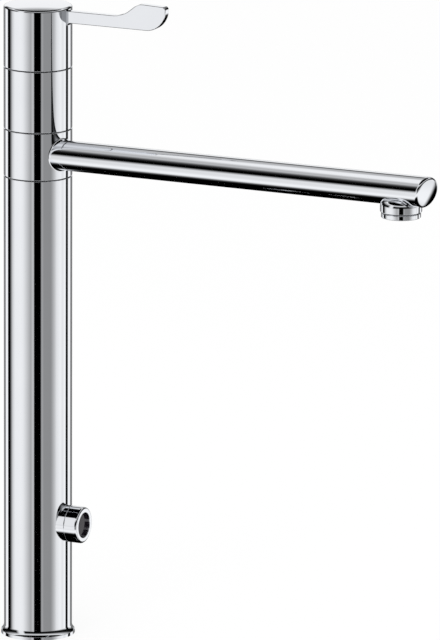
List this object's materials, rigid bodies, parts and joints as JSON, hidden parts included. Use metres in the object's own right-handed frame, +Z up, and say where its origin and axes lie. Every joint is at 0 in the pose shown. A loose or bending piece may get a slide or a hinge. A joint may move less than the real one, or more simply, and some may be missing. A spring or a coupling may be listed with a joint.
{
  "type": "electric mixer tap",
  "caption": "Tall round deck mixer tap with a swivelling straight tube spout, a turning cap lever and a presence sensor on the column.",
  "frame": {"origin": "on the deck, on the column's axis, in the middle of the foot's underside", "axes": "+Z up along the column; +X to the front, where lever and sensor point, with the spout swung 18.5 degrees towards -Y; hot inlet on -Y, cold inlet on +Y"},
  "size_m": [0.3968, 0.1596, 0.4782],
  "materials": {
    "chrome": "polished chrome plate",
    "brass": "machined",
    "steel": "drawn stainless steel",
    "seal_rubber": "matt",
    "white_plastic": "moulded",
    "black_plastic": "moulded",
    "dark_lens": "polished, dark infrared filter",
    "clear_resin": "moulded",
    "circuit_board": "lacquered",
    "winding": "enamelled copper wire",
    "disc_ceramic": "lapped"
  },
  "bodies": {
    "column": {"base_block": "brass", "base_flange": "chrome", "bonnet_screws": "steel", "cable_grommet": "seal_rubber", "cartridge_base": "white_plastic", "cartridge_housing": "white_plastic", "cartridge_nut": "brass", "check_valve_bodies": "white_plastic", "cold_check_spring": "steel", "cold_riser": "steel", "column_tube": "chrome", "delivery_pipe": "steel", "diaphragm": "seal_rubber", "fixed_disc": "disc_ceramic", "foot_seal": "seal_rubber", "head_seal": "seal_rubber", "head_sleeve": "chrome", "hot_check_spring": "steel", "hot_riser": "steel", "inlet_filters": "steel", "ir_emitter": "clear_resin", "ir_receiver": "clear_resin", "lens_gasket": "seal_rubber", "lower_washer": "black_plastic", "mixed_water_pipe": "steel", "pipe_seals": "seal_rubber", "port_seals": "seal_rubber", "riser_seals": "seal_rubber", "sensor_bezel": "chrome", "sensor_board": "circuit_board", "sensor_capsule": "black_plastic", "sensor_lens": "dark_lens", "sensor_sleeve": "chrome", "solenoid_bonnet": "brass", "solenoid_coil": "winding", "solenoid_frame": "steel", "solenoid_spring": "steel", "solenoid_valve_body": "black_plastic", "spigot_body": "brass", "swivel_seals": "seal_rubber", "swivel_stop_pin": "steel", "upper_washer": "black_plastic"},
    "spout": {"spout_ring": "chrome", "spout_tube": "chrome", "spout_end_plug": "chrome", "outlet_collar": "chrome", "aerator_ring": "chrome", "aerator_seal": "seal_rubber", "flow_straightener": "white_plastic"},
    "handle": {"lever": "chrome", "lever_screw": "steel", "screw_plug": "chrome", "stem": "brass", "stem_seal": "seal_rubber", "moving_disc": "disc_ceramic", "temperature_limiter": "white_plastic"},
    "plunger": {"solenoid_plunger": "steel"},
    "hot_poppet": {"hot_check_poppet": "white_plastic"},
    "cold_poppet": {"cold_check_poppet": "white_plastic"}
  },
  "joints": [
    {"name": "spout_swivel", "type": "hinge", "parent": "column", "child": "spout", "pos_m": [0, 0, 0.3607], "axis": [0, 0, 1], "range_deg": [-51.5, 88.5]},
    {"name": "lever_turn", "type": "hinge", "parent": "column", "child": "handle", "pos_m": [0, 0, 0.4254], "axis": [0, 0, 1], "range_deg": [-45, 45]},
    {"name": "plunger_slide", "type": "slide", "parent": "column", "child": "plunger", "axis": [0, 0, -1], "range_m": [0, 0.002], "stiffness_N_per_m": 300, "springref_m": -0.004, "deforming": ["solenoid_spring"]},
    {"name": "hot_check_slide", "type": "slide", "parent": "column", "child": "hot_poppet", "axis": [0, 0, 1], "range_m": [0, 0.0015], "stiffness_N_per_m": 40, "springref_m": -0.003, "deforming": ["hot_check_spring"]},
    {"name": "cold_check_slide", "type": "slide", "parent": "column", "child": "cold_poppet", "axis": [0, 0, 1], "range_m": [0, 0.0015], "stiffness_N_per_m": 40, "springref_m": -0.003, "deforming": ["cold_check_spring"]}
  ]
}
